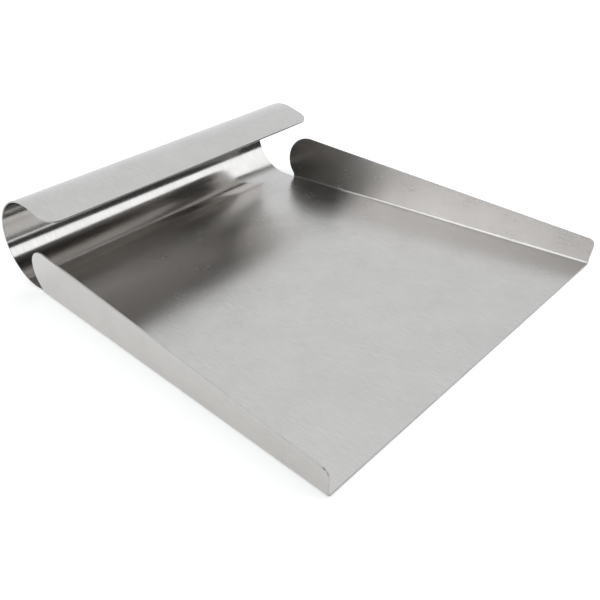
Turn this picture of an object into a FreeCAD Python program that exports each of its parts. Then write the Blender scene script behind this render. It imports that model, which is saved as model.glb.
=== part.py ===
import FreeCAD, Part
import math
import os
import Sketcher

# Mud pan: one blank of stainless sheet, folded into a tray and rolled into a handle.
# Frame: +Z up, front (open edge) towards -Y, handle towards +Y, X across.
# Origin: middle of the flat floor's underside.

V = FreeCAD.Vector

DIMENSIONS = [
    ("sheet_gauge", 1.0, "thickness of the sheet"),
    ("floor_depth", 250.0, "flat floor, front edge to rear end of the side folds"),
    ("fold_width_front", 278.8, "between the outer fold corners at the front edge"),
    ("fold_width_rear", 244.4, "between the outer fold corners at the rear end of the folds"),
    ("fold_inside_radius", 1.2, "inside radius of the two side folds"),
    ("wall_flare", 4.5, "degrees the side walls lean outwards"),
    ("wall_height_front", 18.0, "wall height over the front edge"),
    ("wall_height_rear", 36.5, "wall height over the rear end of the folds"),
    ("wall_front_lean", 7.0, "degrees the wall's front end leans forwards"),
    ("wall_front_radius", 4.5, "top corner of the wall's front end"),
    ("wall_end_radius", 19.2, "half-round rear end of the wall"),
    ("wall_end_reach", 5.5, "how far the half-round end passes the end of the fold"),
    ("handle_width", 241.0, "rolled handle, end to end"),
    ("roll_radius", 30.5, "outside radius of the rolled handle"),
    ("roll_start", 9.4, "flat strip between the folds' end and the start of the roll"),
    ("flap_slope", 15.0, "degrees the flap falls towards the front"),
    ("flap_length", 20.2, "straight flap after the roll"),
    ("flap_corner_radius", 10.0, "the flap's two free corners"),
    ("fold_leg", 6.0, "floor strip drawn together with each side fold"),
    ("fold_height", 3.2, "wall strip drawn together with each side fold"),
    ("trim_margin", 30.0, "how far the trimming cut runs past the wall"),
]
SIZE = {alias: value for alias, value, note in DIMENSIONS}


def add_dimensions(doc):
    sheet = doc.addObject("Spreadsheet::Sheet", "Dimensions")
    for row, (alias, value, note) in enumerate(DIMENSIONS, start=1):
        sheet.set(f"A{row}", alias)
        sheet.set(f"B{row}", str(value))
        sheet.set(f"C{row}", note)
        sheet.setAlias(f"B{row}", alias)
    doc.recompute()


def dim(text):
    """An expression in which each dimension's name stands for its spreadsheet cell."""
    words = text.replace("(", "( ").replace(")", " )").split()
    return " ".join(f"Dimensions.{word}" if word in SIZE else word for word in words)


def add_sketch(body, name, role):
    sketch = body.newObject("Sketcher::SketchObject", name)
    plane = next(f for f in body.Origin.OriginFeatures if f.Role == role)
    sketch.AttachmentSupport = [(plane, "")]
    sketch.MapMode = "FlatFace"
    return sketch


class Outline:
    """A closed outline of lines and arcs, drawn in order."""

    def __init__(self, sketch, start):
        self.sketch = sketch
        self.last = start
        self.parts = []

    def line(self, x, y):
        shape = Part.LineSegment(V(*self.last, 0), V(x, y, 0))
        self.parts.append((self.sketch.addGeometry(shape, False), 1, 2))
        self.last = (x, y)

    def arc(self, middle, end):
        shape = Part.Arc(V(*self.last, 0), V(*middle, 0), V(*end, 0))
        index = self.sketch.addGeometry(shape, False)
        forward = (self.sketch.getPoint(index, 1) - V(*self.last, 0)).Length < 0.001
        self.parts.append((index, 1, 2) if forward else (index, 2, 1))
        self.last = end

    def join(self, smooth):
        """Each part starts where the last one ends, in one direction where it is smooth."""
        for number, (index, first, _) in enumerate(self.parts):
            before, _, end = self.parts[number - 1]
            kind = "Tangent" if number in smooth else "Coincident"
            self.fix(kind, before, end, index, first)

    def fix(self, kind, *args):
        return self.sketch.addConstraint(Sketcher.Constraint(kind, *args))

    def drive(self, expression, kind, *args):
        """A size bound to the dimensions."""
        index = self.fix(kind, *args)
        self.sketch.setExpression(f"Constraints[{index}]", dim(expression))
        return index


def polar(radius, degrees):
    angle = math.radians(degrees)
    return radius * math.cos(angle), radius * math.sin(angle)


def section_sketch(body, name, past):
    """A sketch across the fold, its own origin on the fold's outer corner."""
    sketch = add_sketch(body, name, "XZ_Plane")
    spread = "( fold_width_front - fold_width_rear ) / 2 / floor_depth"
    sketch.setExpression("AttachmentOffset.Base.x", dim(
        f"fold_width_front / 2 + {past} * {spread}"))
    sketch.setExpression("AttachmentOffset.Base.z", dim(f"floor_depth / 2 + {past}"))
    return sketch


def pad_along_fold(body, name, sketch, length):
    """The two folds run together towards the rear, so the pad follows them."""
    pad = body.newObject("PartDesign::Pad", name)
    pad.Profile = sketch
    pad.UseCustomVector = True
    closing = (SIZE["fold_width_front"] - SIZE["fold_width_rear"]) / 2
    pad.Direction = V(-closing, SIZE["floor_depth"], 0)
    pad.setExpression("Direction.x", dim("( fold_width_rear - fold_width_front ) / 2"))
    pad.setExpression("Direction.y", dim("floor_depth"))
    pad.AlongSketchNormal = True
    pad.setExpression("Length", dim(length))
    return pad


def add_wall(body):
    """A side wall above its fold, still a plain strip with square ends."""
    sketch = section_sketch(body, "WallSection", "trim_margin")
    gauge = SIZE["sheet_gauge"]
    foot = polar(SIZE["fold_height"] / math.cos(math.radians(SIZE["wall_flare"])),
                 90 - SIZE["wall_flare"])
    top = polar(SIZE["wall_height_rear"] + 5, 90 - SIZE["wall_flare"])
    inward = polar(gauge, 180 - SIZE["wall_flare"])
    wall = Outline(sketch, foot)
    wall.line(*top)
    wall.line(top[0] + inward[0], top[1] + inward[1])
    wall.line(foot[0] + inward[0], foot[1] + inward[1])
    wall.line(*foot)
    wall.join(set())
    outer, rim, inner, base = [p[0] for p in wall.parts]
    wall.fix("PointOnObject", -1, 1, outer)
    wall.fix("Perpendicular", outer, rim)
    wall.fix("Perpendicular", outer, base)
    wall.fix("Parallel", outer, inner)
    wall.drive("sheet_gauge", "Distance", base, gauge)
    wall.drive("fold_height", "DistanceY", -1, 1, outer, 1, SIZE["fold_height"])
    wall.drive("wall_height_rear + 5", "DistanceY", -1, 1, outer, 2, 41.5)
    wall.drive("( 90 - wall_flare ) * 1 deg", "Angle", -1, outer, math.radians(85.5))
    return pad_along_fold(body, "WallStrip", sketch, "floor_depth + 2 * trim_margin")


def draw_fold(sketch):
    gauge = SIZE["sheet_gauge"]
    up = polar(1.0, 90 - SIZE["wall_flare"])
    inward = polar(gauge, 180 - SIZE["wall_flare"])
    bend = SIZE["fold_inside_radius"] + gauge
    tall = SIZE["fold_height"]
    leg = SIZE["fold_leg"]
    outer = (up[0] * bend, up[1] * bend)
    top = (up[0] * tall, up[1] * tall)
    fold = Outline(sketch, (-leg, 0))
    fold.line(-bend, 0)
    fold.arc((-0.5, 0.5), outer)
    fold.line(*top)
    fold.line(top[0] + inward[0], top[1] + inward[1])
    fold.line(outer[0] + inward[0], outer[1] + inward[1])
    fold.arc((-1.3, 1.3), (-bend, gauge))
    fold.line(-leg, gauge)
    fold.line(-leg, 0)
    fold.join({1, 2, 5, 6})
    return fold


def add_fold(body):
    """The bend between floor and wall, with a short leg of each."""
    sketch = section_sketch(body, "FoldSection", "0")
    fold = draw_fold(sketch)
    bottom, outer_bend, outer, rim, inner, inner_bend, top, end = [p[0] for p in fold.parts]
    fold.fix("PointOnObject", bottom, 1, -1)
    fold.fix("PointOnObject", bottom, 2, -1)
    fold.fix("PointOnObject", -1, 1, outer)
    fold.fix("Vertical", end)
    fold.fix("Horizontal", top)
    fold.fix("Perpendicular", outer, rim)
    fold.fix("Parallel", outer, inner)
    fold.fix("Coincident", outer_bend, 3, inner_bend, 3)
    fold.drive("sheet_gauge", "DistanceY", end, 2, end, 1, SIZE["sheet_gauge"])
    fold.drive("fold_inside_radius", "Radius", inner_bend, SIZE["fold_inside_radius"])
    fold.drive("fold_leg", "DistanceX", bottom, 1, -1, 1, SIZE["fold_leg"])
    fold.drive("fold_height", "DistanceY", -1, 1, outer, 2, SIZE["fold_height"])
    fold.drive("( 90 - wall_flare ) * 1 deg", "Angle", -1, outer, math.radians(85.5))
    return pad_along_fold(body, "Fold", sketch, "floor_depth")


def draw_wall_shape(sketch):
    """The side wall as cut from the flat blank, inside the frame of scrap around it."""
    half = SIZE["floor_depth"] / 2
    far = half + 40
    frame = Outline(sketch, (-far, -10))
    for corner in ((far, -10), (far, 60), (-far, 60), (-far, -10)):
        frame.line(*corner)
    wall = Outline(sketch, (-half, -5))
    wall.line(-half, 3)
    wall.line(-half - 1.5, 13)
    wall.arc((-half - 0.5, 17), (-half + 3, 18.2))
    wall.line(half - 12, 35.6)
    wall.arc((half + 5.5, 16), (half, 3))
    wall.line(half, -5)
    wall.line(-half, -5)
    wall.join({2, 3, 4})
    return frame, wall


def size_frame(frame):
    frame.join(set())
    low, right, high, left = [p[0] for p in frame.parts]
    for index in (low, high):
        frame.fix("Horizontal", index)
    for index in (left, right):
        frame.fix("Vertical", index)
    half = SIZE["floor_depth"] / 2
    frame.drive("floor_depth / 2 + trim_margin + 10", "DistanceX", left, 1, -1, 1, half + 40)
    frame.drive("floor_depth / 2 + trim_margin + 10", "DistanceX", -1, 1, right, 1, half + 40)
    frame.fix("DistanceY", low, 1, -1, 1, 10)
    frame.drive("wall_height_rear + trim_margin", "DistanceY", -1, 1, high, 1, 66.5)


def height_gauge(wall, rim, side, name):
    """A construction upright that the rim's line passes over at the wall's height."""
    x = side * SIZE["floor_depth"] / 2
    post = wall.sketch.addGeometry(Part.LineSegment(V(x, 0, 0), V(x, SIZE[name], 0)), True)
    wall.fix("PointOnObject", post, 1, -1)
    wall.fix("Vertical", post)
    wall.fix("PointOnObject", post, 2, rim)
    wall.drive(name, "DistanceY", post, 1, post, 2, SIZE[name])
    ends = (post, 1, -1, 1) if side < 0 else (-1, 1, post, 1)
    wall.drive("floor_depth / 2", "DistanceX", *ends, SIZE["floor_depth"] / 2)


def size_wall(wall):
    foot, front, corner, rim, rear, heel, base = [p[0] for p in wall.parts]
    half = SIZE["floor_depth"] / 2
    wall.fix("Vertical", foot)
    wall.fix("Vertical", heel)
    wall.fix("Horizontal", base)
    height_gauge(wall, rim, -1, "wall_height_front")
    height_gauge(wall, rim, 1, "wall_height_rear")
    wall.drive("floor_depth / 2", "DistanceX", foot, 1, -1, 1, half)
    wall.drive("fold_height", "DistanceY", -1, 1, foot, 2, 3.2)
    wall.fix("DistanceY", foot, 1, -1, 1, 5)
    wall.drive("( 90 + wall_front_lean ) * 1 deg", "Angle", -1, front, math.radians(97))
    wall.drive("wall_front_radius", "Radius", corner, SIZE["wall_front_radius"])
    wall.drive("wall_end_radius", "Radius", rear, SIZE["wall_end_radius"])
    wall.drive("floor_depth / 2", "DistanceX", -1, 1, heel, 2, half)
    wall.drive("floor_depth / 2 + wall_end_reach - wall_end_radius", "DistanceX",
               -1, 1, rear, 3, half - 15)


def trim_wall(body):
    """Cuts both walls to their real outline, seen from the side."""
    sketch = add_sketch(body, "WallOutline", "YZ_Plane")
    frame, wall = draw_wall_shape(sketch)
    size_frame(frame)
    size_wall(wall)
    cut = body.newObject("PartDesign::Pocket", "WallTrim")
    cut.Profile = sketch
    cut.SideType = "Symmetric"
    cut.setExpression("Length", dim("fold_width_front + 2 * trim_margin"))
    return cut


def mirror_side(body, name, feature):
    mirror = body.newObject("PartDesign::Mirrored", name)
    mirror.Originals = [feature]
    plane = next(f for f in body.Origin.OriginFeatures if f.Role == "YZ_Plane")
    mirror.MirrorPlane = (plane, [""])
    body.Tip = mirror
    return mirror


def add_floor(body):
    """The flat floor between the folds, a little narrower at the rear than at the front."""
    sketch = add_sketch(body, "FloorOutline", "XY_Plane")
    half = SIZE["floor_depth"] / 2
    wide = SIZE["fold_width_front"] / 2 - 3
    slim = SIZE["fold_width_rear"] / 2 - 3
    floor = Outline(sketch, (-wide, -half))
    for corner in ((wide, -half), (slim, half), (-slim, half), (-wide, -half)):
        floor.line(*corner)
    floor.join(set())
    front, right, rear, left = [p[0] for p in floor.parts]
    floor.fix("Symmetric", front, 1, front, 2, -2)
    floor.fix("Symmetric", rear, 1, rear, 2, -2)
    floor.drive("fold_width_front - fold_leg", "DistanceX", front, 1, front, 2, 2 * wide)
    floor.drive("fold_width_rear - fold_leg", "DistanceX", rear, 2, rear, 1, 2 * slim)
    floor.drive("floor_depth / 2", "DistanceY", front, 1, -1, 1, half)
    floor.drive("floor_depth / 2", "DistanceY", -1, 1, rear, 1, half)
    pad = body.newObject("PartDesign::Pad", "Floor")
    pad.Profile = sketch
    pad.setExpression("Length", dim("sheet_gauge"))
    return pad


def draw_handle(sketch):
    gauge = SIZE["sheet_gauge"]
    start = SIZE["floor_depth"] / 2 - SIZE["fold_leg"]
    centre = SIZE["floor_depth"] / 2 + SIZE["roll_start"]
    radius = SIZE["roll_radius"]
    turn = 90 + SIZE["flap_slope"]

    def on_roll(size, degrees):
        across, up = polar(size, degrees)
        return centre + across, radius + up

    top = on_roll(radius, turn)
    back = polar(SIZE["flap_length"], turn + 90)
    thick = polar(gauge, turn + 180)
    outline = Outline(sketch, (start, 0))
    outline.line(centre, 0)
    outline.arc(on_roll(radius, 0), top)
    outline.line(top[0] + back[0], top[1] + back[1])
    outline.line(top[0] + back[0] + thick[0], top[1] + back[1] + thick[1])
    outline.line(*on_roll(radius - gauge, turn))
    outline.arc(on_roll(radius - gauge, 0), (centre, gauge))
    outline.line(start, gauge)
    outline.line(start, 0)
    outline.join({1, 2, 5, 6})
    return outline


def size_handle(outline):
    strip, roll, flap, edge, under, inside, top, end = [p[0] for p in outline.parts]
    outline.fix("PointOnObject", strip, 1, -1)
    outline.fix("Horizontal", strip)
    outline.fix("Vertical", end)
    outline.fix("Horizontal", top)
    outline.fix("Perpendicular", flap, edge)
    outline.fix("Parallel", flap, under)
    outline.fix("Coincident", roll, 3, inside, 3)
    outline.drive("sheet_gauge", "DistanceY", end, 2, end, 1, SIZE["sheet_gauge"])
    outline.drive("roll_radius", "Radius", roll, SIZE["roll_radius"])
    outline.drive("flap_length", "Distance", flap, SIZE["flap_length"])
    fall = math.radians(180 + SIZE["flap_slope"])
    outline.drive("( 180 + flap_slope ) * 1 deg", "Angle", -1, flap, fall)
    half = SIZE["floor_depth"] / 2
    front, rear = half - SIZE["fold_leg"], half + SIZE["roll_start"]
    outline.drive("floor_depth / 2 - fold_leg", "DistanceX", -1, 1, strip, 1, front)
    outline.drive("floor_depth / 2 + roll_start", "DistanceX", -1, 1, strip, 2, rear)


def add_handle(body):
    """The rear of the sheet rolled up and over into an open handle, ending in a flap."""
    sketch = add_sketch(body, "HandleProfile", "YZ_Plane")
    size_handle(draw_handle(sketch))
    pad = body.newObject("PartDesign::Pad", "Handle")
    pad.Profile = sketch
    pad.SideType = "Symmetric"
    pad.setExpression("Length", dim("handle_width"))
    return pad


def free_corners(shape):
    """The short edges through the sheet at the flap's two free corners."""
    end = SIZE["handle_width"] / 2
    names = []
    for number, edge in enumerate(shape.Edges, start=1):
        middle = edge.CenterOfMass
        short = edge.Length < 1.5 * SIZE["sheet_gauge"]
        on_flap = middle.z > SIZE["roll_radius"] and middle.y < SIZE["floor_depth"] / 2
        if short and on_flap and abs(abs(middle.x) - end) < 0.01:
            names.append(f"Edge{number}")
    return names


def round_corners(body, handle):
    corners = body.newObject("PartDesign::Fillet", "FlapCorners")
    corners.Base = (handle, free_corners(handle.Shape))
    corners.setExpression("Radius", dim("flap_corner_radius"))
    return corners


def check(doc):
    for item in doc.Objects:
        if "Invalid" in item.State or "Error" in item.State:
            raise RuntimeError(f"{item.Name} failed")
        shape = getattr(item, "Shape", None)
        if item.isDerivedFrom("PartDesign::Feature") and (shape.isNull() or not shape.isValid()):
            raise RuntimeError(f"{item.Name} has no sound shape")


def grown(doc, feature, volume, more):
    """Recomputes, and checks that the feature added or removed material as meant."""
    doc.recompute()
    now = feature.Shape.Volume
    if (now > volume) != more or abs(now - volume) < 1:
        raise RuntimeError(f"{feature.Name} changed the volume the wrong way")
    return now


def build():
    doc = FreeCAD.newDocument("MudPan")
    add_dimensions(doc)
    body = doc.addObject("PartDesign::Body", "FoldedSheet")
    body.Label = "folded_sheet"
    wall = add_wall(body)
    volume = grown(doc, wall, 0, True)
    volume = grown(doc, mirror_side(body, "OppositeWall", wall), volume, True)
    volume = grown(doc, trim_wall(body), volume, False)
    fold = add_fold(body)
    volume = grown(doc, fold, volume, True)
    volume = grown(doc, mirror_side(body, "OppositeFold", fold), volume, True)
    volume = grown(doc, add_floor(body), volume, True)
    handle = add_handle(body)
    volume = grown(doc, handle, volume, True)
    grown(doc, round_corners(body, handle), volume, False)
    check(doc)
    return doc, body


def main():
    doc, body = build()
    if len(body.Shape.Solids) != 1:
        raise RuntimeError("the sheet isn't one solid")
    os.makedirs("parts", exist_ok=True)
    body.Shape.exportStep(os.path.join("parts", body.Label + ".step"))


main()
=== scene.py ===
import math

import bmesh
import bpy
from mathutils import Matrix, Vector, noise


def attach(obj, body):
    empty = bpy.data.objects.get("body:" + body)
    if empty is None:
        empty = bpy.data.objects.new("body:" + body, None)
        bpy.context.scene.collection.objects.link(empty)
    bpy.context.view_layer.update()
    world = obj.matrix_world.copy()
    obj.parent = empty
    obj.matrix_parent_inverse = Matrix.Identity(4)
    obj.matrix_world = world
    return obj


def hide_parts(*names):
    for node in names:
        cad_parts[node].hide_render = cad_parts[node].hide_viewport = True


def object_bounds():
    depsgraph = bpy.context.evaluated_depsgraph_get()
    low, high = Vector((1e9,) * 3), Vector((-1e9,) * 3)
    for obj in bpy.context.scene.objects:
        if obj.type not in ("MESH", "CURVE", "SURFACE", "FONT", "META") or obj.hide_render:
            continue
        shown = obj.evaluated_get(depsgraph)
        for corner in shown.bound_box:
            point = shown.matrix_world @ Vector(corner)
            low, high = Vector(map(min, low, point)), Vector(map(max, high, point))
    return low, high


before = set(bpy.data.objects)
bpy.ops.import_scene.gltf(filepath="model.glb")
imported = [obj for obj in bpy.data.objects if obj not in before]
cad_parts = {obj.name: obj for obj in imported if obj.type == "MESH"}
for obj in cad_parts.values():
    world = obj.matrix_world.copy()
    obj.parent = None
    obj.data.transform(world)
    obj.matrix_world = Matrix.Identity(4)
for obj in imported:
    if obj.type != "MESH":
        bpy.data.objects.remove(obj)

cad_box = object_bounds()

# The pan is one blank of 1 mm stainless sheet, cut out flat, folded up along both sides in a press
# brake, and rolled over a bar at the rear into the carrying handle. It is drawn the same way: cut
# flat, scored where it bends, then carried round the folds and the roll. Lengths are millimetres.

GAUGE = 1.0
FLOOR_HALF_DEPTH = 125.0
FOLD_HALF_FRONT = 139.4
FOLD_HALF_REAR = 122.2
FOLD_INSIDE_RADIUS = 1.2
WALL_FLARE = math.radians(4.5)
WALL_HEIGHT_FRONT = 18.0
WALL_HEIGHT_REAR = 36.5
WALL_FRONT_LEAN = math.radians(7.0)
WALL_FRONT_RADIUS = 4.5
WALL_END_RADIUS = 19.2
WALL_END_REACH = 5.5
WALL_FOOT = 3.2
HANDLE_HALF_WIDTH = 120.5
HANDLE_STEP = 2.0
ROLL_RADIUS = 30.5
ROLL_START = 134.4
FLAP_SLOPE = math.radians(15.0)
FLAP_LENGTH = 20.2
FLAP_CORNER_RADIUS = 10.0
CORNER_STEPS = 12
WALL_END_STEPS = 40
MM_PER_METRE = 1000

closing = math.atan2(FOLD_HALF_FRONT - FOLD_HALF_REAR, 2 * FLOOR_HALF_DEPTH)
along = Vector((-math.sin(closing), math.cos(closing), 0))
outward = Vector((math.cos(closing), math.sin(closing), 0))
corner_at_middle = Vector(((FOLD_HALF_FRONT + FOLD_HALF_REAR) / 2, 0, 0))

fold_turn = math.pi / 2 - WALL_FLARE
fold_radius = FOLD_INSIDE_RADIUS + GAUGE / 2
fold_start = -(FOLD_INSIDE_RADIUS + GAUGE) / math.tan((math.pi / 2 + WALL_FLARE) / 2)
fold_length = fold_radius * fold_turn
wall_base_out = fold_start + fold_radius * math.sin(fold_turn)
wall_base_up = GAUGE / 2 + fold_radius * (1 - math.cos(fold_turn))

roll_mid = ROLL_RADIUS - GAUGE / 2
roll_turn = math.pi + FLAP_SLOPE
roll_length = roll_mid * roll_turn


def on_blank(y, z):
    """Where a point of the right-hand wall, seen from the side, lies on the flat blank."""
    if z > wall_base_up:
        rise = (z - wall_base_up) / math.sin(fold_turn)
        out = wall_base_out + rise * math.cos(fold_turn)
        unrolled = fold_start + fold_length + rise
    else:
        turned = math.acos(max(-1.0, 1 - (z - GAUGE / 2) / fold_radius))
        out = fold_start + fold_radius * math.sin(turned)
        unrolled = fold_start + fold_radius * turned
    run = (y - out * math.sin(closing)) / math.cos(closing)
    return corner_at_middle + along * run + outward * unrolled


def arc_points(centre, radius, start, end, steps):
    turns = [start + (end - start) * i / steps for i in range(steps + 1)]
    return [(centre[0] + radius * math.cos(t), centre[1] + radius * math.sin(t)) for t in turns]


def wall_side_view():
    """The wall above its foot: leaning front end, small corner, rising rim, half-round rear end."""
    rise = math.atan2(WALL_HEIGHT_REAR - WALL_HEIGHT_FRONT, 2 * FLOOR_HALF_DEPTH)
    rim_up = Vector((-math.sin(rise), math.cos(rise)))
    rim_at = Vector((-FLOOR_HALF_DEPTH, WALL_HEIGHT_FRONT))
    front_out = Vector((-math.cos(WALL_FRONT_LEAN), -math.sin(WALL_FRONT_LEAN)))
    foot = Vector((-FLOOR_HALF_DEPTH, WALL_FOOT))
    # corner centre: inside both the rim and the front end by the radius
    a = rim_at.dot(rim_up) - WALL_FRONT_RADIUS
    b = foot.dot(front_out) - WALL_FRONT_RADIUS
    det = rim_up.x * front_out.y - rim_up.y * front_out.x
    corner = ((a * front_out.y - b * rim_up.y) / det, (rim_up.x * b - front_out.x * a) / det)
    points = [tuple(foot)]
    points += arc_points(corner, WALL_FRONT_RADIUS, math.pi + WALL_FRONT_LEAN,
                         math.pi / 2 + rise, CORNER_STEPS)
    end_y = FLOOR_HALF_DEPTH + WALL_END_REACH - WALL_END_RADIUS
    end_z = (rim_at.dot(rim_up) - WALL_END_RADIUS - end_y * rim_up.x) / rim_up.y
    last = -math.asin((end_z - WALL_FOOT) / WALL_END_RADIUS)
    points += arc_points((end_y, end_z), WALL_END_RADIUS, math.pi / 2 + rise, last,
                         WALL_END_STEPS)
    return points


def opposite(points):
    return [Vector((-p.x, p.y, 0)) for p in reversed(points)]


def flat_panels():
    """The blank's panels, sharing their corners along every bend: floor, folds, walls, strip."""
    half = FLOOR_HALF_DEPTH
    fold_foot = [on_blank(-half, GAUGE / 2), on_blank(half, GAUGE / 2)]
    wall = [on_blank(y, z) for y, z in wall_side_view()]
    fold = [fold_foot[0], wall[0], wall[-1], fold_foot[1]]
    end = ROLL_START + roll_length + FLAP_LENGTH
    inset = FLAP_CORNER_RADIUS
    corner = arc_points((HANDLE_HALF_WIDTH - inset, end - inset), inset, 0, math.pi / 2,
                        CORNER_STEPS)
    handle = [fold_foot[1], Vector((HANDLE_HALF_WIDTH, half + HANDLE_STEP, 0))]
    handle += [Vector((x, y, 0)) for x, y in corner]
    floor = fold_foot + opposite(fold_foot)
    return [floor, fold, opposite(fold), wall, opposite(wall), handle + opposite(handle)]


def cut_blank():
    mesh = bmesh.new()
    known = {}

    def vertex(point):
        key = (round(point.x, 3), round(point.y, 3))
        if key not in known:
            known[key] = mesh.verts.new(point)
        return known[key]

    for panel in flat_panels():
        mesh.faces.new([vertex(p) for p in panel])
    bmesh.ops.recalc_face_normals(mesh, faces=mesh.faces[:])
    return mesh


FOLD_STEPS = 12
ROLL_STEPS = 126
FLAP_STEPS = 4
WALL_GRID = 6.0
FLOOR_GRID = 8.0
# a corner this near a scored line counts as lying on it
ON_THE_LINE = 0.0005


def score(mesh, point, normal):
    bmesh.ops.bisect_plane(mesh, geom=mesh.verts[:] + mesh.edges[:] + mesh.faces[:],
                           plane_co=point, plane_no=normal, dist=ON_THE_LINE)


def score_blank(mesh):
    """Lines wherever the sheet bends, and a wider grid that lets flat areas lie a little uneven."""
    across, forward = Vector((1, 0, 0)), Vector((0, 1, 0))
    for side in (1, -1):
        out = Vector((outward.x * side, outward.y, 0))
        middle = Vector((corner_at_middle.x * side, 0, 0))
        for step in range(1, FOLD_STEPS + 1):
            score(mesh, middle + out * (fold_start + fold_length * step / FOLD_STEPS), out)
        for step in range(1, int(WALL_HEIGHT_REAR / WALL_GRID)):
            score(mesh, middle + out * (fold_start + fold_length + step * WALL_GRID), out)
    for step in range(ROLL_STEPS + 1):
        score(mesh, forward * (ROLL_START + roll_length * step / ROLL_STEPS), forward)
    for step in range(1, FLAP_STEPS):
        score(mesh, forward * (ROLL_START + roll_length + step * FLAP_LENGTH / FLAP_STEPS), forward)
    for step in range(-int(FLOOR_HALF_DEPTH / FLOOR_GRID), int(ROLL_START / FLOOR_GRID) + 1):
        score(mesh, across * step * FLOOR_GRID, across)
        score(mesh, forward * step * FLOOR_GRID, forward)


# a point this near the end of the floor still belongs to the floor
ON_THE_FOLD = 0.001


def fold_point(point):
    """Carries a point of the blank round the side fold or round the roll."""
    side = 1 if point.x >= 0 else -1
    flat = Vector((abs(point.x), point.y, 0))
    if flat.y > FLOOR_HALF_DEPTH + ON_THE_FOLD and flat.x < HANDLE_HALF_WIDTH + ON_THE_FOLD:
        run = flat.y - ROLL_START
        if run <= 0:
            return Vector((point.x, flat.y, GAUGE / 2))
        turned = min(run, roll_length) / roll_mid
        rest = max(0.0, run - roll_length)
        y = ROLL_START + roll_mid * math.sin(turned) + rest * math.cos(turned)
        z = ROLL_RADIUS - roll_mid * math.cos(turned) + rest * math.sin(turned)
        return Vector((point.x, y, z))
    past = (flat - corner_at_middle).dot(outward) - fold_start
    if past <= 0:
        return Vector((point.x, point.y, GAUGE / 2))
    base = flat - outward * past
    turned = min(past, fold_length) / fold_radius
    rest = max(0.0, past - fold_length)
    out = fold_radius * math.sin(turned) + rest * math.cos(turned)
    up = fold_radius * (1 - math.cos(turned)) + rest * math.sin(turned)
    folded = base + outward * out + Vector((0, 0, GAUGE / 2 + up))
    return Vector((folded.x * side, folded.y, folded.z))


# flat sheet is never quite flat: this much up and down over a span this long
UNEVEN = 0.012
UNEVEN_SPAN = 90.0


def fold_blank(mesh):
    """Bends the blank; "grain" keeps each point's place on the flat sheet, where it was brushed."""
    grain = mesh.loops.layers.uv.new("grain")
    for face in mesh.faces:
        face.smooth = True
        for loop in face.loops:
            loop[grain].uv = loop.vert.co.xy / MM_PER_METRE
    for vertex in mesh.verts:
        vertex.co = fold_point(vertex.co)
    mesh.normal_update()
    shift = [noise.noise(v.co / UNEVEN_SPAN) * UNEVEN for v in mesh.verts]
    for vertex, amount in zip(mesh.verts, shift):
        vertex.co += vertex.normal * amount
        vertex.co /= MM_PER_METRE


blank = cut_blank()
score_blank(blank)
fold_blank(blank)
if sum(face.normal.z * face.calc_area() for face in blank.faces) < 0:
    bmesh.ops.reverse_faces(blank, faces=blank.faces[:])
pan_mesh = bpy.data.meshes.new("pan_sheet")
blank.to_mesh(pan_mesh)
blank.free()
pan = bpy.data.objects.new("pan_sheet", pan_mesh)
bpy.context.collection.objects.link(pan)

DEBURR_WIDTH = 0.16
SHARP_ANGLE = math.radians(50)

thickness = pan.modifiers.new("sheet_gauge", "SOLIDIFY")
thickness.thickness = GAUGE / MM_PER_METRE
thickness.offset = 0
thickness.use_even_offset = True
deburr = pan.modifiers.new("deburred_edges", "BEVEL")
deburr.width = DEBURR_WIDTH / MM_PER_METRE
deburr.segments = 2
deburr.limit_method = "ANGLE"
deburr.angle_limit = SHARP_ANGLE
deburr.harden_normals = True


def linear(code):
    """A hex colour as the eye sees it, turned into the light values that shaders use."""
    parts = [int(code[i:i + 2], 16) / 255 for i in (1, 3, 5)]
    light = [p / 12.92 if p <= 0.04045 else ((p + 0.055) / 1.055) ** 2.4 for p in parts]
    return (*light, 1.0)


def add_node(tree, kind, settings=None, **links):
    """Adds a node. A link is another node's output or a value, for the socket of that name, or for
    the socket of that number when it is called i0, i1 and so on."""
    node = tree.nodes.new(kind)
    for name, value in (settings or {}).items():
        setattr(node, name, value)
    for name, value in links.items():
        number = name[1:]
        socket = node.inputs[int(number) if number.isdigit() else name.replace("_", " ")]
        if isinstance(value, bpy.types.NodeSocket):
            tree.links.new(value, socket)
        else:
            socket.default_value = value
    return node


# Stainless steel sheet with a satin finish: an abrasive belt has drawn fine, short lines from front
# to rear, so reflections are soft, streaked and a little cloudy where hands have dulled them. Real
# belt lines are about 0.05 mm wide, too fine to show, so they are drawn 0.8 mm wide.
STEEL = "#C8C5C2"
STEEL_DULL = "#BBB8B5"
BRUSH_SHADE = "#F4F4F4"
BRUSH_LINE_WIDTH = 0.8
BRUSH_LINE_LENGTH = 9.0
BRUSH_PALE, BRUSH_DEEP = 0.3, 0.7
BRUSH_ROUGHNESS = 0.015
BRUSH_RELIEF = 0.06
BRUSH_DEPTH = 0.1
BRUSH_SMEAR = 0.5
HANDLING_SPAN = 28.0
HANDLED_FROM, HANDLED_FULL = 0.35, 0.7
ROUGHNESS_CLEAN, ROUGHNESS_HANDLED = 0.235, 0.275

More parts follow.
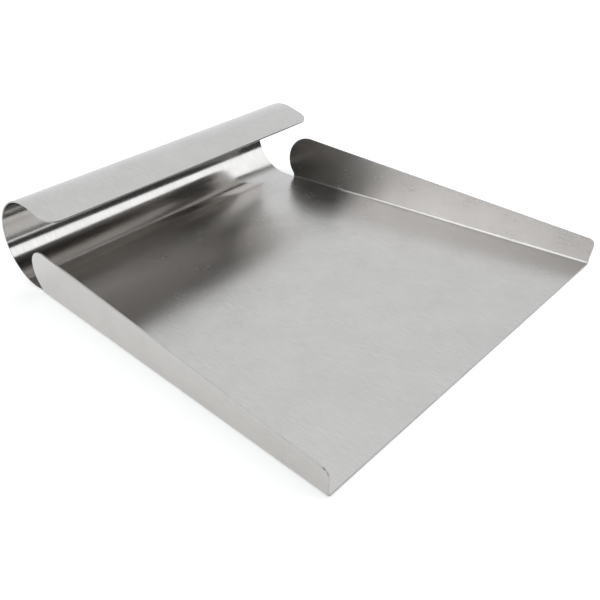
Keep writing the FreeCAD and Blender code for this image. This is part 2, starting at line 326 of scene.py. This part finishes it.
satin = bpy.data.materials.new("satin_stainless_sheet")
satin.use_nodes = True
tree = satin.node_tree
tree.nodes.clear()
on_sheet = add_node(tree, "ShaderNodeUVMap", {"uv_map": "grain"}).outputs["UV"]
brush_lines = (MM_PER_METRE / BRUSH_LINE_WIDTH, MM_PER_METRE / BRUSH_LINE_LENGTH, 1.0)
brush_frame = add_node(tree, "ShaderNodeMapping", Vector=on_sheet, Scale=brush_lines)
brush = add_node(tree, "ShaderNodeTexNoise", Vector=brush_frame.outputs[0], Scale=1.0, Detail=3.0,
                 Roughness=0.6)
cloud = add_node(tree, "ShaderNodeTexNoise", Vector=on_sheet, Scale=MM_PER_METRE / HANDLING_SPAN,
                 Detail=4.0, Roughness=0.55)
brush_rough = add_node(tree, "ShaderNodeMapRange", Value=brush.outputs[0], i1=BRUSH_PALE,
                       i2=BRUSH_DEEP, i3=-BRUSH_ROUGHNESS, i4=BRUSH_ROUGHNESS)
cloud_rough = add_node(tree, "ShaderNodeMapRange", Value=cloud.outputs[0], i1=HANDLED_FROM,
                       i2=HANDLED_FULL, i3=ROUGHNESS_CLEAN, i4=ROUGHNESS_HANDLED)
rough = add_node(tree, "ShaderNodeMath", {"operation": "ADD"}, i0=brush_rough.outputs[0],
                 i1=cloud_rough.outputs[0])

# the bar that the handle is rolled over burnishes the sheet from just behind the floor
BURNISH_FROM, BURNISH_FULL = 128.0, 145.0
BURNISH = -0.105
along_blank = add_node(tree, "ShaderNodeSeparateXYZ", Vector=on_sheet).outputs["Y"]
burnish = add_node(tree, "ShaderNodeMapRange", Value=along_blank, i1=BURNISH_FROM / MM_PER_METRE,
                   i2=BURNISH_FULL / MM_PER_METRE, i3=0.0, i4=BURNISH)
rough = add_node(tree, "ShaderNodeMath", {"operation": "ADD"}, i0=rough.outputs[0],
                 i1=burnish.outputs[0])

# small rub marks from stacking and handling: slanting, few, and only where the noise peaks
SCUFFED = "#CBC9C6"
SCUFF_LENGTH = 14.0
SCUFF_WIDTH = 3.0
SCUFF_SLANT = 0.6
SCUFF_FROM, SCUFF_FULL = 0.735, 0.83
SCUFF_ROUGHNESS = 0.05
scuff_frame = add_node(tree, "ShaderNodeMapping", Vector=on_sheet, Rotation=(0, 0, SCUFF_SLANT),
                       Scale=(MM_PER_METRE / SCUFF_LENGTH, MM_PER_METRE / SCUFF_WIDTH, 1.0))
scuff = add_node(tree, "ShaderNodeTexNoise", Vector=scuff_frame.outputs[0], Scale=1.0, Detail=2.0)
scuff_here = add_node(tree, "ShaderNodeMapRange", Value=scuff.outputs[0], i1=SCUFF_FROM,
                      i2=SCUFF_FULL, i3=0.0, i4=1.0)
scuff_rough = add_node(tree, "ShaderNodeMath", {"operation": "MULTIPLY_ADD"},
                       i0=scuff_here.outputs[0], i1=SCUFF_ROUGHNESS, i2=rough.outputs[0])

tone = add_node(tree, "ShaderNodeMix", {"data_type": "RGBA"}, i0=cloud.outputs[0],
                i6=linear(STEEL), i7=linear(STEEL_DULL))
line_tone = add_node(tree, "ShaderNodeMapRange", Value=brush.outputs[0], i1=BRUSH_PALE,
                     i2=BRUSH_DEEP, i3=0.0, i4=1.0)
tone = add_node(tree, "ShaderNodeMix", {"data_type": "RGBA", "blend_type": "MULTIPLY"},
                i0=line_tone.outputs[0], i6=tone.outputs[2], i7=linear(BRUSH_SHADE))
tone = add_node(tree, "ShaderNodeMix", {"data_type": "RGBA"}, i0=scuff_here.outputs[0],
                i6=tone.outputs[2], i7=linear(SCUFFED))
lines = add_node(tree, "ShaderNodeBump", Strength=BRUSH_RELIEF, Distance=BRUSH_DEPTH / MM_PER_METRE,
                 Height=brush.outputs[0])
across = add_node(tree, "ShaderNodeTangent", {"direction_type": "UV_MAP", "uv_map": "grain"})
steel = add_node(tree, "ShaderNodeBsdfPrincipled", Base_Color=tone.outputs[2], Metallic=1.0,
                 Roughness=scuff_rough.outputs[0], Anisotropic=BRUSH_SMEAR,
                 Tangent=across.outputs[0], Normal=lines.outputs[0])
add_node(tree, "ShaderNodeOutputMaterial", Surface=steel.outputs[0])
pan_mesh.materials.append(satin)

# The same steel at the rim, where the blank was sheared and then deburred with a file: darker and
# rougher than the brushed faces, with fine nicks drawn coarse enough to show, about 4 mm apart.
RIM = "#A3A2A0"
RIM_BRIGHT = "#BBBAB8"
RIM_ROUGHNESS = 0.42
NICK_SPAN = 4.0
NICK_RELIEF = 0.15
NICK_DEPTH = 0.1

sheared = bpy.data.materials.new("sheared_deburred_edge")
sheared.use_nodes = True
edge_tree = sheared.node_tree
edge_tree.nodes.clear()
on_rim = add_node(edge_tree, "ShaderNodeTexCoord").outputs["Object"]
nicks = add_node(edge_tree, "ShaderNodeTexNoise", Vector=on_rim, Scale=MM_PER_METRE / NICK_SPAN,
                 Detail=4.0)
edge_tone = add_node(edge_tree, "ShaderNodeMix", {"data_type": "RGBA"}, i0=nicks.outputs[0],
                     i6=linear(RIM), i7=linear(RIM_BRIGHT))
edge_bump = add_node(edge_tree, "ShaderNodeBump", Strength=NICK_RELIEF,
                     Distance=NICK_DEPTH / MM_PER_METRE, Height=nicks.outputs[0])
edge_steel = add_node(edge_tree, "ShaderNodeBsdfPrincipled", Base_Color=edge_tone.outputs[2],
                      Metallic=1.0, Roughness=RIM_ROUGHNESS, Normal=edge_bump.outputs[0])
add_node(edge_tree, "ShaderNodeOutputMaterial", Surface=edge_steel.outputs[0])
pan_mesh.materials.append(sheared)
thickness.material_offset_rim = 1

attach(pan, "root")
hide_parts("folded_sheet")

# The table is a wide sheet of matt white paper that is given a faint glow of its own, painted light
# which fills in the pan's shadow so that hardly any shows on it. TABLE_REACH is in metres.
PAPER = "#F6F6F4"
PAPER_ROUGHNESS = 0.9
PAPER_PAINTED_GLOW = 0.30
TABLE_REACH = 12.0

table = bpy.data.objects.new("table", bpy.data.meshes.new("table"))
bpy.context.collection.objects.link(table)
sweep = bmesh.new()
corners = [sweep.verts.new((x * TABLE_REACH, y * TABLE_REACH, cad_box[0].z)) for x, y in
           ((-1, -1), (1, -1), (1, 1), (-1, 1))]
sweep.faces.new(corners)
sweep.to_mesh(table.data)
sweep.free()
paper = bpy.data.materials.new("matt_white_paper")
paper.use_nodes = True
paper_sockets = paper.node_tree.nodes["Principled BSDF"].inputs
paper_sockets["Base Color"].default_value = linear(PAPER)
paper_sockets["Roughness"].default_value = PAPER_ROUGHNESS
# painted glow: the paper emits light of its own, though it is no lamp, to fill in the pan's shadow
paper_sockets["Emission Color"].default_value = (1, 1, 1, 1)
paper_sockets["Emission Strength"].default_value = PAPER_PAINTED_GLOW
table.data.materials.append(paper)

# The studio is a room that is bright beyond the handle, half as bright to the left and dark behind
# the camera, which gives the sheet something to reflect, and it has three large soft panels. The
# far wall is as pale as the far end of the table, so no horizon shows.
DAYLIGHT = (0.945, 0.972, 1.0)
FAR_WALL = "#E8EAEB"
ROOM_DARK, ROOM_BEYOND, ROOM_LEFT = 0.05, 1.12, 0.5
BEYOND_FROM, BEYOND_FULL = -0.1, 0.3
LEFT_FROM, LEFT_FULL = -0.05, -0.45

world = bpy.data.worlds.new("studio")
bpy.context.scene.world = world
world.use_nodes = True
room = world.node_tree
room.nodes.clear()
way = add_node(room, "ShaderNodeTexCoord").outputs["Generated"]
split = add_node(room, "ShaderNodeSeparateXYZ", Vector=way)
beyond = add_node(room, "ShaderNodeMapRange", Value=split.outputs[1], i1=BEYOND_FROM,
                  i2=BEYOND_FULL, i3=ROOM_DARK, i4=ROOM_BEYOND)
left = add_node(room, "ShaderNodeMapRange", Value=split.outputs[0], i1=LEFT_FROM, i2=LEFT_FULL,
                i3=ROOM_DARK, i4=ROOM_LEFT)
facing = add_node(room, "ShaderNodeMath", {"operation": "MAXIMUM"}, i0=beyond.outputs[0],
                  i1=left.outputs[0])
seen = add_node(room, "ShaderNodeLightPath")
level = add_node(room, "ShaderNodeMix", {"data_type": "FLOAT"}, i0=seen.outputs["Is Camera Ray"],
                 i2=facing.outputs[0], i3=1.0)
tint = add_node(room, "ShaderNodeMix", {"data_type": "RGBA"}, i0=seen.outputs["Is Camera Ray"],
                i6=(*DAYLIGHT, 1.0), i7=linear(FAR_WALL))
glow = add_node(room, "ShaderNodeBackground", Color=tint.outputs[2], Strength=level.outputs[0])
add_node(room, "ShaderNodeOutputWorld", Surface=glow.outputs[0])


def soft_light(name, place, target, size, power):
    """A rectangular panel with a diffusing cloth, turned to face the target; metres and watts."""
    light = bpy.data.lights.new(name, "AREA")
    light.shape = "RECTANGLE"
    light.size, light.size_y = size
    light.energy = power
    light.color = DAYLIGHT
    lamp = bpy.data.objects.new(name, light)
    lamp.location = place
    lamp.rotation_euler = (Vector(target) - Vector(place)).to_track_quat("-Z", "Y").to_euler()
    bpy.context.collection.objects.link(lamp)


soft_light("overhead", place=(-0.1, 0.3, 1.4), target=(0.0, 0.1, 0.0), size=(0.9, 0.6), power=3)
soft_light("front_right", place=(0.968, -0.756, 0.86), target=(0.0, 0.0, 0.0), size=(2.1, 1.0),
           power=12)
soft_light("rear_left", place=(-1.24, 0.66, 0.56), target=(0.0, 0.0, 0.0), size=(1.4, 0.8),
           power=5.5)

# The camera stands beyond the pan's front left corner, half a metre from its middle and looking
# down at it: metres, degrees, and millimetres for the lens and the sensor.
CAMERA_AT = (-0.3355, -0.2823, 0.2668)
CAMERA_AZIMUTH = 48.63
CAMERA_DOWN = 32.51
CAMERA_ROLL = -0.65
CAMERA_LENS = 46.97
CAMERA_SENSOR = 36.0
camera = bpy.data.objects.new("camera", bpy.data.cameras.new("camera"))
bpy.context.collection.objects.link(camera)
camera.data.sensor_width = CAMERA_SENSOR
camera.data.lens = CAMERA_LENS
camera.location = CAMERA_AT
camera.rotation_euler = (
    Matrix.Rotation(math.radians(-CAMERA_AZIMUTH), 4, "Z")
    @ Matrix.Rotation(math.radians(90 - CAMERA_DOWN), 4, "X")
    @ Matrix.Rotation(math.radians(CAMERA_ROLL), 4, "Z")).to_euler()
bpy.context.scene.camera = camera
bpy.context.scene.view_settings.view_transform = "Standard"
